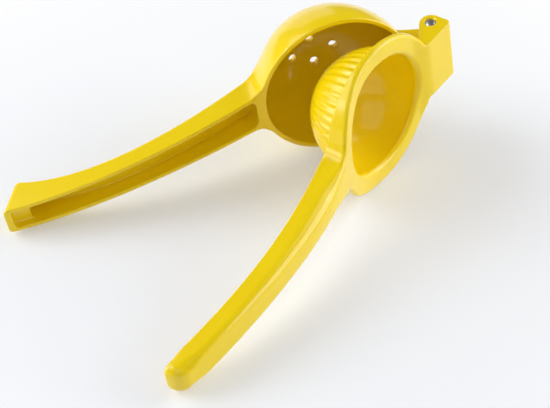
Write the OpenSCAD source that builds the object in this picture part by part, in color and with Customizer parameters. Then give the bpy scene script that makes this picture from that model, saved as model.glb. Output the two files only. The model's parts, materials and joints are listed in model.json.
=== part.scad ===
// Hinged hand press for halved lemons: a deep drained bowl on one lever, a fluted dome on the
// other, and a steel pin through the knuckle that joins them.
// The pieces are drawn closed, in a plan frame with the pin on the Z axis: X runs from the pin
// to the handle tips, and Y from the dome's side towards the bowl's. The last lines open them
// and lay them on the table, on the rims of bowl and dome and on both handle tips.

/* [Bowl] */
// Distance from the pin to the edge of the bowl
hinge_room = 12.2; // [10:0.1:16]
// Outer radius of the bowl at its rim
bowl_r = 36.3; // [33:0.1:40]
// How much deeper the bowl is than half of its width
bowl_extra = 3; // [1:0.1:5]
// Thickness of the bowl's wall
bowl_wall = 2.3; // [1.8:0.1:3]
// How far past its axis the arc of the bowl's side is centred
bowl_bulge = 5.7; // [5.2:0.1:9]
// Distance from the pin's axis down to the plane of the rim
rim_offset = 2.4; // [2:0.1:3]
// Diameter of a drain hole
drain_d = 4; // [3:0.1:6]
// Radius of the ring of drain holes
drain_ring_r = 12; // [9:0.5:18]
// Drain holes in that ring, besides the one in the middle
drain_count = 6; // [4:1:10]

/* [Press] */
// Room for the peel between the foot of the dome and the bowl's wall
peel_gap = 4.2; // [3:0.1:7]
// Room over the dome inside the shut bowl
crown_gap = 7.4; // [4:0.1:12]
// Thickness of the dome's wall
dome_wall = 2; // [1.5:0.1:3]
// Flutes round the dome
flute_count = 45; // [30:1:60]
// Depth of a flute at the foot of the dome
flute_depth = 0.8; // [0.3:0.1:1.2]
// How far the dome's flange reaches past the rim of the bowl
flange_over = 0.8; // [0.2:0.1:2]
// Thickness of the flange
flange_t = 3; // [2.5:0.1:3.5]
// Radius that rounds the mouth of the dome's hollow
mouth_round = 2.6; // [1:0.1:2.8]
// Gap between rim and flange when the press is shut
rim_gap = 0.4; // [0.3:0.1:1]

/* [Hinge] */
// Diameter of the steel pin
pin_d = 5; // [4:0.1:6]
// Height of the hinge block along the pin
hinge_h = 31; // [27:0.5:33]
// Thickness of each ear
ear_t = 4.9; // [4:0.1:6]
// Radius of the ears round the pin
ear_r = 5.2; // [4.8:0.1:6]
// Radius of the tongue round the pin
tongue_r = 4.6; // [4:0.1:4.8]
// Thickness of the web that joins the ears
web_t = 3; // [2:0.1:4]
// How far each end of the pin sits below its ear
pin_recess = 0.5; // [0:0.1:1]
// Gap between the tongue and each ear
side_gap = 0.3; // [0.2:0.05:0.6]
// Gap between the web and the knuckle of the tongue
web_gap = 0.3; // [0.2:0.05:0.6]
// Gap all round between the pin and the bore of the tongue
bore_gap = 0.08; // [0.03:0.01:0.1]
// Length of the hinge block, from the pin towards the dome
block_len = 14; // [12:0.5:16]
// Run of the slope from the hinge block down to the flange
block_slope = 8; // [4:0.5:12]
// Radius along the outer corner of the hinge block
block_round = 2.6; // [0.5:0.1:3.2]
// Height at which the back of the tongue meets the bowl
tongue_rise = 8.6; // [7:0.1:12]

/* [Bowl handle] */
// Reach of the bowl's handle from the pin, along its mouth
bowl_reach = 207.8; // [195:0.1:215]
// Width of the handle at its root
bowl_root_w = 18.8; // [15:0.1:20]
// Width that the handle tends to along its middle
bowl_mid_w = 14; // [12:0.1:18]
// Width of the handle at its tip
bowl_tip_w = 13.6; // [12:0.1:15]
// How far inside the bowl's edge the curve of the handle's back starts
back_in = 17.7; // [10:0.1:22]
// Height of that start above the rim
back_rise = 22.9; // [18:0.1:25]
// Distance from the tip to the point that bends the back
back_bend = 53.1; // [45:0.1:60]
// How far that point lies below the rim
back_dip = 18.9; // [14:0.1:22]
// Height above the rim at which the back ends
tip_rise = 4.3; // [2:0.1:6]
// How far the back ends short of the mouth at the slanted tip
tip_slant = 10; // [6:0.1:14]
// Level rim outside the bowl before the handle's mouth starts to fall
mouth_start = 1.4; // [1:0.1:4]
// Run of the curve's level start
mouth_lead = 1; // [0.5:0.1:6]
// Distance from the tip to the point that bends the mouth
mouth_bend = 56.5; // [50:0.1:65]
// How far that point lies below the rim
mouth_dip = 19; // [16:0.1:20]
// How far the mouth ends below the rim
mouth_end = 12.1; // [10:0.1:13]
// Thickness of the walls of the handle's channel
lip_t = 2; // [1.5:0.1:2.5]
// Thickness of the floor of the channel
floor_t = 2.4; // [1.5:0.1:3]
// Depth of the channel
channel_d = 14; // [5:0.5:16]
// Wall between the bowl's root and the channel
channel_wall = 0.5; // [0.4:0.1:2]
// Distance from the tip to the step where the channel gets shallow
channel_step_x = 10.3; // [8:0.1:14]
// Depth of its shallow end
pocket_d = 4; // [2:0.5:5]
// Solid end between the channel and the tip
pocket_end = 1.8; // [1.5:0.1:6]
// Radius round the end of the handle
bowl_end_round = 2; // [0.8:0.1:2.5]

/* [Press handle] */
// Reach of the press's handle from the pin
press_reach = 209; // [195:0.1:215]
// Width of the handle at its root
press_root_w = 17.5; // [15:0.1:19]
// Width that the handle tends to along its middle
press_mid_w = 14.6; // [12:0.1:16]
// Width of the handle at its tip
press_tip_w = 14.4; // [12:0.1:16]
// Distance past the dome's middle at which the flange's face starts to rise
ramp_start = 1.5; // [0:0.5:6]
// Distance past the bowl's edge to which the start of that rise points
ramp_lead = 7.5; // [4:0.1:12]
// How far inside the bowl's edge the point lies that bends the handle's back
ramp_bend = 1.8; // [0:0.1:6]
// How far that point lies below the face
ramp_dip = 23.6; // [20:0.1:26]
// How far the back ends below the face
ramp_end = 19.4; // [17:0.1:21]
// How far inside the bowl's edge the curve of the handle's inner side starts
inner_in = 1; // [0.5:0.1:3]
// Distance past the bowl's edge to which its level start points
inner_lead = 10.1; // [6:0.1:14]
// Distance past the bowl's edge to the point that bends the inner side
inner_bend = 45.4; // [40:0.1:50]
// How far that point lies below the seat
inner_dip = 18.6; // [18:0.1:21]
// How far the inner side ends below the seat
inner_end = 13; // [12.7:0.1:15]
// Wall of the hollow in the inner side
press_lip_t = 2.4; // [1.8:0.1:3]
// Depth of that hollow
press_hollow_d = 4.5; // [2:0.1:5.5]
// Distance from the root to the hollow
hollow_start = 12; // [6:0.5:30]
// Solid end between the hollow and the tip
hollow_end = 6; // [4:0.5:20]
// Radius round the end of the handle
press_end_round = 3.4; // [1:0.1:4]

/* [Both handles] */
// Run past the fillets of both roots to where the handles start
root_len = 0.8; // [0.5:0.1:5]
// Radius of the fillets between rim and handle
root_round = 8; // [4:0.5:9]
// Radius along the outer edges of the handles
edge_round = 3; // [1:0.1:4]

/* [Stance] */
// Angle between the two levers as they lie
open_angle = 32.4; // [24:0.2:60]

/* [Hidden] */
$fn = 96;
enamel = [0.95, 0.83, 0.10];
shaded_enamel = [0.88, 0.72, 0.08];
steel = [0.66, 0.66, 0.70];
far = 300;          // longer than anything that it cuts
sweep_steps = 26;   // stations along a handle
corner_steps = 4;   // facets round an edge
end_steps = 4;      // facets round a handle's end
curve_steps = 14;   // facets along a curved edge in plan
dome_rings = 10;
flute_facets = 4;
root_sink = 1.2;    // how far the fillets of the roots sink into the rims
wall_run = 0.004;   // run of a channel's end wall along the curve
least_core = 1;     // what the edge rounding always leaves of half the width
corner_keep = 0.6;  // how fast the edge rounding shrinks round a handle's end
first_lean = 10;    // from here the levers settle onto the table
settle_turns = 30;  // rounds of settling
draft = 0.4;        // lean of a channel's walls

bowl_depth = bowl_r + bowl_extra;
bowl_side_r = bowl_r + bowl_bulge;
flange_r = bowl_r + flange_over;
dome_r = bowl_r - bowl_wall - peel_gap;
dome_depth = bowl_depth - bowl_wall + rim_gap - crown_gap;
rim_y = -rim_offset;
seat_y = rim_y - rim_gap;
face_y = seat_y - flange_t;
slot_half = hinge_h / 2 - ear_t;
tongue_half = slot_half - side_gap;
web_y = -tongue_r - web_gap;
block_y = web_y - web_t;
tongue_in = 33;     // where the tongue's inner edge leaves its knuckle, from straight down
tongue_out = 48;    // where its outer edge leaves it
tongue_flat_x = 10.5;
ear_in = 60;        // where the ears' inner edge leaves their round
flute_top = 62;     // angle up the dome at which the flutes end
hollow_r = dome_r - dome_wall;
hollow_depth = dome_depth - dome_wall;
bowl_x = hinge_room + bowl_r;
bowl_edge_x = bowl_x + bowl_r;
root_x = bowl_x + max(fillet_reach(bowl_r, bowl_root_w), fillet_reach(flange_r, press_root_w)) + root_len;
half_angle = open_angle / 2;
function fillet_reach(rim_r, root_w) =
    sqrt(pow(rim_r - root_sink + root_round, 2) - pow(root_w / 2 + root_round, 2));

// Edges of both levers in plan: control points of cubic curves, from the rim to the tip.
bowl_back = [[bowl_edge_x - back_in, rim_y + back_rise], [bowl_edge_x - back_in, rim_y + back_rise],
             [bowl_reach - back_bend, rim_y - back_dip], [bowl_reach - tip_slant, rim_y + tip_rise]];
bowl_mouth = [[bowl_edge_x + mouth_start, rim_y], [bowl_edge_x + mouth_start + mouth_lead, rim_y],
              [bowl_reach - mouth_bend, rim_y - mouth_dip], [bowl_reach, rim_y - mouth_end]];
press_back = [[bowl_x + ramp_start, face_y], [bowl_edge_x + ramp_lead, face_y],
              [bowl_edge_x - ramp_bend, face_y - ramp_dip], [press_reach, face_y - ramp_end]];
press_inner = [[bowl_edge_x - inner_in, seat_y], [bowl_edge_x + inner_lead, seat_y],
               [bowl_edge_x + inner_bend, seat_y - inner_dip], [press_reach, seat_y - inner_end]];

// Where the levers lie: each turns by half of the opening angle about the pin. Then the pin
// rolls sideways until both handle tips touch the table, and leans until the rim of the press
// touches it as well.
bowl_tip = [bowl_reach + bowl_end_round, bowl_mouth[3][1], -bowl_tip_w / 2];
press_tip = [press_reach + press_end_round, (press_back[3][1] + press_inner[3][1]) / 2, -press_tip_w / 2];
function turned(p, turn) = [-p[0] * cos(turn) - p[1] * sin(turn), p[1] * cos(turn) - p[0] * sin(turn), p[2]];
function height(p, lean, roll) = p[0] * sin(lean) + (p[1] * sin(roll) + p[2] * cos(roll)) * cos(lean);
function tip_height(tip, turn, lean, roll) = height(turned(tip, turn), lean, roll);
function rim_height(r, y, turn, lean, roll) = height(turned([bowl_x, y, 0], turn), lean, roll)
    - r * norm([height(turned([1, 0, 0], turn), lean, roll), height([0, 0, 1], lean, roll)]);
function settled(lean, roll, n) = n == 0 ? [lean, roll] :
    let (bowl = tip_height(bowl_tip, -half_angle, lean, roll),
         press = tip_height(press_tip, half_angle, lean, roll),
         rim = rim_height(flange_r, face_y, half_angle, lean, roll))
    settled(lean + asin((press - rim) / press_reach), roll + asin((press - bowl) / bowl_reach), n - 1);
stance = settled(first_lean, 0, settle_turns);
lean = stance[0];
roll = stance[1];
function on_table(p, turn) = let (q = turned(p, turn), y = q[1] * cos(roll) - q[2] * sin(roll),
                                  z = q[1] * sin(roll) + q[2] * cos(roll))
    [q[0] * cos(lean) - z * sin(lean), y, q[0] * sin(lean) + z * cos(lean)];
left_x = on_table([bowl_tip[0], bowl_tip[1], bowl_tip_w / 2], -half_angle)[0];
right_x = on_table([-ear_r, block_y, -hinge_h / 2], half_angle)[0];
back_y = on_table([bowl_back[3][0], bowl_back[3][1], -bowl_tip_w / 2], -half_angle)[1];
front_y = on_table([press_reach, press_back[3][1], press_tip_w / 2], half_angle)[1];
pin_z = -min(tip_height(bowl_tip, -half_angle, lean, roll), tip_height(press_tip, half_angle, lean, roll),
             rim_height(flange_r, face_y, half_angle, lean, roll),
             rim_height(bowl_r, rim_y, -half_angle, lean, roll));
pin_place = [-(left_x + right_x) / 2, -(front_y + back_y) / 2, pin_z];

// A point of a cubic curve, and the place along it where it passes a given x.
function on_curve(c, t) = pow(1 - t, 3) * c[0] + 3 * pow(1 - t, 2) * t * c[1]
    + 3 * (1 - t) * t * t * c[2] + pow(t, 3) * c[3];
function reach_x(c, x, lo = 0, hi = 1, n = 24) = n == 0 ? (lo + hi) / 2 :
    let (mid = (lo + hi) / 2)
    on_curve(c, mid)[0] < x ? reach_x(c, x, mid, hi, n - 1) : reach_x(c, x, lo, mid, n - 1);
function curve(c, t0, t1) = [for (i = [0:curve_steps]) on_curve(c, t0 + (t1 - t0) * i / curve_steps)];
function reversed(list) = [for (i = [len(list) - 1:-1:0]) list[i]];
function middle(list) = [for (axis = [0:2])
    (min([for (p = list) p[axis]]) + max([for (p = list) p[axis]])) / 2];
function smooth3(a, b, c, t) = pow(1 - t, 2) * a + 2 * t * (1 - t) * b + t * t * c;

// Turns what is drawn round Z so that it goes round the common axis of bowl and dome.
module round_bowl() {
    translate([bowl_x, 0, 0]) rotate([-90, 0, 0]) children();
}

// Extrudes an outline drawn in X and Z between two heights of Y.
module between_y(y0, y1) {
    translate([0, y1, 0]) rotate([90, 0, 0]) linear_extrude(y1 - y0) children();
}

// Extrudes a plan outline evenly to both sides of the middle plane.
module plan_slab(height) {
    linear_extrude(height, center = true) children();
}

// Half section of a cup: an arc for its side, and a crown that runs into it without a corner.
module cup_section(radius, depth, side_r) {
    set_in = side_r - radius;
    slack = side_r - depth;
    crown_y = (set_in * set_in - slack * slack) / (2 * slack);
    rise = crown_y / set_in;
    intersection() {
        translate([-set_in, 0]) circle(side_r);
        polygon([[0, 0], [far, 0], [far, crown_y + far * rise], [0, crown_y]]);
    }
    intersection() {
        translate([0, crown_y]) circle(depth - crown_y);
        square(far);
    }
}

// Solid cup that stands on the plane of the rim; less takes a wall's thickness off it.
module bowl_form(less) {
    round_bowl() translate([0, 0, rim_y]) rotate_extrude()
        cup_section(bowl_r - less, bowl_depth - less, bowl_side_r - less);
}

// Outline in X and Z of the root of a handle, filleted into the round rim that carries it.
module root_outline(rim_r, root_w) {
    centre_z = root_w / 2 + root_round;
    centre_x = bowl_x + fillet_reach(rim_r, root_w);
    difference() {
        polygon([[bowl_x, 0], [centre_x, centre_z], [centre_x, root_w / 2], [root_x, root_w / 2],
                 [root_x, -root_w / 2], [centre_x, -root_w / 2], [centre_x, -centre_z]]);
        for (side = [-1, 1]) translate([centre_x, side * centre_z]) circle(root_round);
    }
}

// Drain holes of the bowl: one in the middle and a ring round it.
module drain_holes() {
    round_bowl() {
        cylinder(h = far, d = drain_d);
        for (i = [0:drain_count - 1]) rotate([0, 0, (i + 0.5) * 360 / drain_count])
            translate([drain_ring_r, 0, 0]) cylinder(h = far, d = drain_d);
    }
}

module strainer_bowl() color(enamel) difference() {
    union() {
        bowl_form(0);
        intersection() {
            between_y(rim_y, far) root_outline(bowl_r, bowl_root_w);
            plan_slab(far) polygon(concat([[bowl_x, rim_y], [root_x, rim_y]],
                reversed(curve(bowl_back, 0, reach_x(bowl_back, root_x))),
                [[bowl_x, bowl_back[0][1]]]));
            plan_slab(far) polygon(concat([[bowl_x, bowl_back[0][1]], [bowl_x, rim_y]],
                curve(bowl_mouth, 0, reach_x(bowl_mouth, root_x)),
                [[root_x, bowl_back[0][1]]]));
        }
    }
    bowl_form(bowl_wall);
    translate([0, rim_y, 0]) round_bowl() cylinder(h = 2 * bowl_wall, r = bowl_r - bowl_wall, center = true);
    drain_holes();
}

// One station of a handle: a section with rounded outer edges and a channel in its inner side.
// It lies in the plane of Z and the line from the outer edge to the inner edge.
function station(outer, inner, half_w, inset, cut, lip) =
    let (thick = norm(inner - outer), dir = (inner - outer) / thick,
         r = min(edge_round, half_w - least_core, thick / 2) - inset * corner_keep,
         near = inset, deep = thick - inset, w = half_w - inset, c = w * (1 - lip / half_w),
         bed = deep - min(cut, thick - floor_t),
         ring = concat([[deep, -w]],
             [for (i = [0:corner_steps]) let (a = 90 * i / corner_steps)
                 [near + r - r * sin(a), -w + r - r * cos(a)]],
             [for (i = [0:corner_steps]) let (a = 90 * i / corner_steps)
                 [near + r - r * cos(a), w - r + r * sin(a)]],
             [[deep, w], [deep, c], [bed, c - draft], [bed, draft - c], [deep, -c]]))
    [for (p = ring) [outer[0] + dir[0] * p[0], outer[1] + dir[1] * p[0], p[1] * sign(outer[1] - inner[1])]];

// Stations of a handle: evenly spread, and doubled where its channel starts, steps and ends.
function along(c, x) = let (t = reach_x(c, root_x)) (reach_x(c, x) - t) / (1 - t);
function channel_depth(s, steps) = max([for (c = steps) s > c[0] && s < c[1] ? c[2] : 0]);
function handle_specs(steps) =
    let (ends = [for (c = steps, e = [c[0], c[0] + wall_run, c[1] - wall_run, c[1]]) e],
         even = [for (i = [0:sweep_steps]) i / sweep_steps],
         kept = [for (s = even) if (min([for (e = ends) abs(s - e)]) > 2 * wall_run) s])
    [for (s = sorted(concat(kept, ends))) [s, channel_depth(s, steps)]];
function sorted(list) = len(list) < 2 ? list :
    let (pivot = list[0], rest = [for (i = [1:len(list) - 1]) list[i]])
    concat(sorted([for (v = rest) if (v < pivot) v]), [pivot], sorted([for (v = rest) if (v >= pivot) v]));

// A handle as a skin over its stations. Each spec is [place along the handle, channel depth].
module swept_handle(back, inside, widths, specs, lip, end_round) {
    t_back = reach_x(back, root_x);
    t_inside = reach_x(inside, root_x);
    end_dir = (inside[3] - inside[2]) / norm(inside[3] - inside[2]);
    body = [for (s = specs) station(on_curve(back, t_back + (1 - t_back) * s[0]),
        on_curve(inside, t_inside + (1 - t_inside) * s[0]),
        smooth3(widths[0], widths[1], widths[2], s[0]) / 2, 0, s[1], lip)];
    end = [for (i = [1:end_steps]) let (a = 90 * i / end_steps, shift = end_dir * end_round * sin(a))
        station(back[3] + shift, inside[3] + shift, widths[2] / 2, end_round * (1 - cos(a)), 0, lip)];
    rings = concat(body, end);
    size = len(rings[0]);
    last = (len(rings) - 1) * size;
    root_hub = len(rings) * size;
    polyhedron(
        points = concat([for (ring = rings, p = ring) p], [middle(rings[0]), middle(rings[len(rings) - 1])]),
        faces = concat(
            [for (k = [0:len(rings) - 2], i = [0:size - 1])
                let (a = k * size, b = a + size, j = (i + 1) % size)
                each [[a + i, b + i, b + j], [a + i, b + j, a + j]]],
            [for (i = [0:size - 1]) let (j = (i + 1) % size)
                each [[root_hub, i, j], [root_hub + 1, last + j, last + i]]]),
        convexity = 6);
}

module bowl_handle() color(enamel) {
    start = along(bowl_mouth, root_x + channel_wall);
    step = along(bowl_mouth, bowl_reach - channel_step_x);
    stop = along(bowl_mouth, bowl_reach - pocket_end);
    swept_handle(bowl_back, bowl_mouth, [bowl_root_w, bowl_mid_w, bowl_tip_w],
        handle_specs([[start, step, channel_d], [step - wall_run / 2, stop, pocket_d]]),
        lip_t, bowl_end_round);
}

// Tongue of the bowl: fills the slot between the ears and runs into the bowl's wall.
module hinge_tongue() color(shaded_enamel) difference() {
    plan_slab(2 * tongue_half) {
        circle(tongue_r);
        polygon([[0, 0], tongue_r * [sin(tongue_in), -cos(tongue_in)], [tongue_flat_x, rim_y],
                 [bowl_x, rim_y], [bowl_x, tongue_rise],
                 [bowl_x - bowl_r + bowl_wall, tongue_rise],
                 tongue_r * [cos(tongue_out), sin(tongue_out)]]);
    }
    bowl_form(0);
    cylinder(h = far, d = pin_d + 2 * bore_gap, center = true);
}

// Dome: flutes that are deepest at the foot and fade out before the crown.
function flute(i) = (1 - cos(360 * i / flute_facets)) / 2;
function dome_point(i, k) =
    let (turn = 360 * i / (flute_count * flute_facets), rise = 90 * k / dome_rings,
         fade = max(0, 1 - rise / flute_top),
         r = dome_r * cos(rise) - flute_depth * flute(i) * sqrt(fade))
    [r * cos(turn), r * sin(turn), dome_depth * sin(rise)];
function hollow_point(i, k) =
    let (turn = 360 * i / flute_count, rise = 90 * k / dome_rings)
    [hollow_r * cos(rise) * cos(turn), hollow_r * cos(rise) * sin(turn), hollow_depth * sin(rise)];
module press_dome() color(enamel) {
    outer_n = flute_count * flute_facets;
    outer = [for (k = [0:dome_rings - 1], i = [0:outer_n - 1]) dome_point(i, k)];
    inner = [for (k = [0:dome_rings - 1], i = [0:flute_count - 1]) hollow_point(i, k)];
    outer_top = len(outer) + len(inner);
    first_in = len(outer);
    translate([0, seat_y, 0]) round_bowl() polyhedron(
        points = concat(outer, inner, [[0, 0, dome_depth], [0, 0, hollow_depth]]),
        faces = concat(
            [for (k = [0:dome_rings - 2], i = [0:outer_n - 1])
                let (a = k * outer_n, b = a + outer_n, j = (i + 1) % outer_n)
                each [[a + i, b + i, b + j], [a + i, b + j, a + j]]],
            [for (i = [0:outer_n - 1]) let (a = (dome_rings - 1) * outer_n)
                [a + i, outer_top, a + (i + 1) % outer_n]],
            [for (k = [0:dome_rings - 2], i = [0:flute_count - 1])
                let (a = first_in + k * flute_count, b = a + flute_count, j = (i + 1) % flute_count)
                each [[a + i, b + j, b + i], [a + i, a + j, b + j]]],
            [for (i = [0:flute_count - 1]) let (a = first_in + (dome_rings - 1) * flute_count)
                [a + i, a + (i + 1) % flute_count, outer_top + 1]],
            [for (i = [0:flute_count - 1]) let (j = (i + 1) % flute_count)
                concat([first_in + j, first_in + i],
                    [for (f = [0:flute_facets]) (i * flute_facets + f) % outer_n])]),
        convexity = 4);
}

// Hollow of the press as its flange sees it: a straight wall with a rounded mouth.
module flange_hollow() {
    mouth_r = hollow_r + mouth_round;
    translate([0, face_y, 0]) round_bowl() rotate_extrude() {
        translate([0, -far]) square([hollow_r, 2 * far]);
        translate([0, -far]) square([mouth_r, far]);
        difference() {
            square([mouth_r, mouth_round]);
            translate([mouth_r, mouth_round]) circle(mouth_round);
        }
    }
}

module press_flange() color(enamel) difference() {
    intersection() {
        union() {
            between_y(-far, seat_y) translate([bowl_x, 0]) circle(flange_r);
            between_y(-far, seat_y) root_outline(flange_r, press_root_w);
        }
        plan_slab(far) polygon(concat([[bowl_x - flange_r, seat_y], [bowl_x - flange_r, face_y]],
            curve(press_back, 0, reach_x(press_back, root_x)),
            reversed(curve(press_inner, 0, reach_x(press_inner, root_x)))));
    }
    flange_hollow();
}

module press_handle() color(enamel) {
    start = along(press_inner, root_x + hollow_start);
    stop = along(press_inner, press_reach - hollow_end);
    swept_handle(press_back, press_inner, [press_root_w, press_mid_w, press_tip_w],
        handle_specs([[start, stop, press_hollow_d]]), press_lip_t, press_end_round);
}

// Hinge block of the press: two ears on a web, which slopes down onto the flange's face.
module hinge_clevis() color(enamel) difference() {
    plan_slab(hinge_h) {
        circle(ear_r);
        difference() {
            polygon([[-ear_r, 0], [-ear_r, block_y], [block_len, block_y],
                     [block_len + block_slope, face_y], [block_len + block_slope, seat_y],
                     [block_len, seat_y], ear_r * [cos(ear_in), sin(ear_in)]]);
            translate([-ear_r, block_y]) difference() {
                square(2 * block_round, center = true);
                translate([block_round, block_round]) circle(block_round);
            }
        }
    }
    plan_slab(2 * slot_half) polygon([[-far, web_y], [bowl_x, web_y], [bowl_x, far], [-far, far]]);
    cylinder(h = far, d = pin_d, center = true);
    between_y(face_y, far) translate([bowl_x, 0]) circle(flange_r);
    flange_hollow();
}

module hinge_pin() color(steel)
    cylinder(h = hinge_h - 2 * pin_recess, d = pin_d, center = true);

// Lays what is drawn closed on the table, turned about the pin.
module laid(turn) {
    translate(pin_place) rotate([0, -lean, 0]) rotate([roll, 0, 0]) rotate([0, 0, 180 + turn])
        rotate([180, 0, 0]) children();
}

laid(-half_angle) strainer_bowl();
laid(-half_angle) bowl_handle();
laid(-half_angle) hinge_tongue();
laid(half_angle) press_dome();
laid(half_angle) press_flange();
laid(half_angle) press_handle();
laid(half_angle) hinge_clevis();
laid(half_angle) hinge_pin();
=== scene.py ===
"""Looks of a hinged lemon squeezer: two enamelled cast levers, a fluted dome and a steel pin.

Sizes are in millimetres in the plan frame of the shut tool: the pin's axis is Z, X runs from the
pin to the handle tips, and Y from the dome's side to the bowl's. A Stance, read from the frame's
hinge, turns that frame to where each lever lies on the table, in metres.
"""

import json
import logging
import math
from collections.abc import Callable
from dataclasses import dataclass, field
from enum import Enum

import bpy
import numpy as np
from mathutils import Matrix, Vector


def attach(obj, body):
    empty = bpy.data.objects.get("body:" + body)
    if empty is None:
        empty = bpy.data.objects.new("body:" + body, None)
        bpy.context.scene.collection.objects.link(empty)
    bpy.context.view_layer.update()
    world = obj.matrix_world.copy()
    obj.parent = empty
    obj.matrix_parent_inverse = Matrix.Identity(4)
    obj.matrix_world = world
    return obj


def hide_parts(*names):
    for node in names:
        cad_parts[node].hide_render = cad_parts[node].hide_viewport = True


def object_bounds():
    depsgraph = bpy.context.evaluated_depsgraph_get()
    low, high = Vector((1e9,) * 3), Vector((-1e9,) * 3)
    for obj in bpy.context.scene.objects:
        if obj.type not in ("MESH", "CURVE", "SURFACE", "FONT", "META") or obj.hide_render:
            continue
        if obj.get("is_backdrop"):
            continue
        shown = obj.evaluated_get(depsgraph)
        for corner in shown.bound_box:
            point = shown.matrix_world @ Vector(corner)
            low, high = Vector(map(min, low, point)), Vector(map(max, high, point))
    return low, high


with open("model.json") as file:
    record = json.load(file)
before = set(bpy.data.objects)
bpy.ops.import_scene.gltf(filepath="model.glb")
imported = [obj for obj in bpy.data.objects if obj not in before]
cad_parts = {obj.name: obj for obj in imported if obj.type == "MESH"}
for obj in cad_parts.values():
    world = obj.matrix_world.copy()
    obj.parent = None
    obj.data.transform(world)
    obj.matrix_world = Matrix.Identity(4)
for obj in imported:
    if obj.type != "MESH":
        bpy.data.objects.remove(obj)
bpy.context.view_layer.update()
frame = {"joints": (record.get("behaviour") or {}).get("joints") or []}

LOG = logging.getLogger("lemon_squeezer")
MM = 0.001  # metres in a millimetre
SLAB = 32  # grid planes worked out together
CELL_CORNERS = 8
SETTLE_PASSES = 3  # moves of each point onto its surface
GRADIENT_STEP = 0.02  # reach of the central differences
FINE_PAST = 6.0  # how far the fine grid runs on into the bowl handle's channel
FINE_BEFORE = 4.0  # how far before the end of a handle's hollow it starts again
Array = np.ndarray
Field = Callable[[Array, Array, Array], Array]
Axes = tuple[Array, Array, Array]
Point = tuple[float, float]
Colour = tuple[float, float, float, float]
Material, Tree, Socket = bpy.types.Material, bpy.types.NodeTree, bpy.types.NodeSocket


class Lever(Enum):
    """The two levers, by the body that carries each and the way it turns from the middle."""

    BOWL = ("bowl_arm", -1)
    PRESS = ("press_arm", 1)

    @property
    def body(self) -> str:
        """Name of the lever's body in the frame."""
        return self.value[0]

    @property
    def side(self) -> int:
        """Direction in which the lever stands off the middle line, as a sign."""
        return self.value[1]


# ---------------------------------------------------------------- distances and blends


def blended_union(first: Array, second: Array, reach: float) -> Array:
    """Joins two solids with a fillet.

    The distance is the lesser one, less the squared overlap over four times the reach.

    Args:
        first: Distances to the first solid, negative inside.
        second: Distances to the second solid.
        reach: Distance over which they blend.

    Returns:
        Distances to the joined solid.
    """
    overlap = np.maximum(reach - np.abs(first - second), 0.0)
    return np.minimum(first, second) - overlap * overlap / (4.0 * reach)


def rounded_common(first: Array, second: Array, radius: Array | float) -> Array:
    """Keeps what lies in both solids, with the edge between them rounded to a true arc.

    Args:
        first: Distances to the first solid, negative inside.
        second: Distances to the second solid.
        radius: Radius of the edge, one value or one for each point.

    Returns:
        Distances to the common solid.
    """
    over = np.hypot(np.maximum(first + radius, 0.0), np.maximum(second + radius, 0.0))
    return np.minimum(np.maximum(first, second), -radius) + over


def eased(value: Array, low: float, high: float) -> Array:
    """Goes smoothly from 0 at low to 1 at high: 3 t squared less 2 t cubed."""
    t = np.clip((value - low) / (high - low), 0.0, 1.0)
    return t * t * (3.0 - 2.0 * t)


def changing(x: Array, first: float, changes: tuple[tuple[Point, float], ...]) -> Array:
    """A radius that eases from one value to the next along X.

    Args:
        x: Where to find it.
        first: The radius before the first change.
        changes: For each change, the two x between which it happens and the radius after it.

    Returns:
        The radius at each x.
    """
    radius, before = first, first
    for (low, high), after in changes:
        radius = radius + (after - before) * eased(x, low, high)
        before = after
    return radius


def on_round(radius: float, degrees: float) -> Point:
    """The point of a circle about the origin at an angle."""
    return radius * math.cos(math.radians(degrees)), radius * math.sin(math.radians(degrees))


def beside_line(x: Array, y: Array, start: Point, end: Point) -> Array:
    """Signed distance from the line through two points, positive on its left.

    Args:
        x: First coordinates of the points to measure.
        y: Second coordinates.
        start: A point on the line.
        end: A later point on the line.

    Returns:
        The distances.
    """
    dx, dy = end[0] - start[0], end[1] - start[1]
    return (dx * (y - start[1]) - dy * (x - start[0])) / math.hypot(dx, dy)


@dataclass(frozen=True)
class PlanEdge:
    """An edge of a lever seen in plan, as a cubic curve that never turns back along X."""

    points: tuple[Point, ...]
    samples: int = 400

    def curve(self) -> tuple[Array, Array]:
        """Points along the curve: the four control points weighed by the cubic Bernstein terms."""
        t = np.linspace(0.0, 1.0, self.samples)
        weights = np.array([(1 - t) ** 3, 3 * (1 - t) ** 2 * t, 3 * (1 - t) * t**2, t**3])
        xy = weights.T @ np.array(self.points)
        return xy[:, 0], xy[:, 1]

    def above(self, x: Array, y: Array) -> Array:
        """Distance of points above the edge: the height over it, times the cosine of its slope."""
        along, up = self.curve()
        slope = np.interp(x, along, np.gradient(up, along), left=0.0)
        return (y - np.interp(x, along, up)) / np.hypot(1.0, slope)


# ---------------------------------------------------------------- where the levers lie


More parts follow.
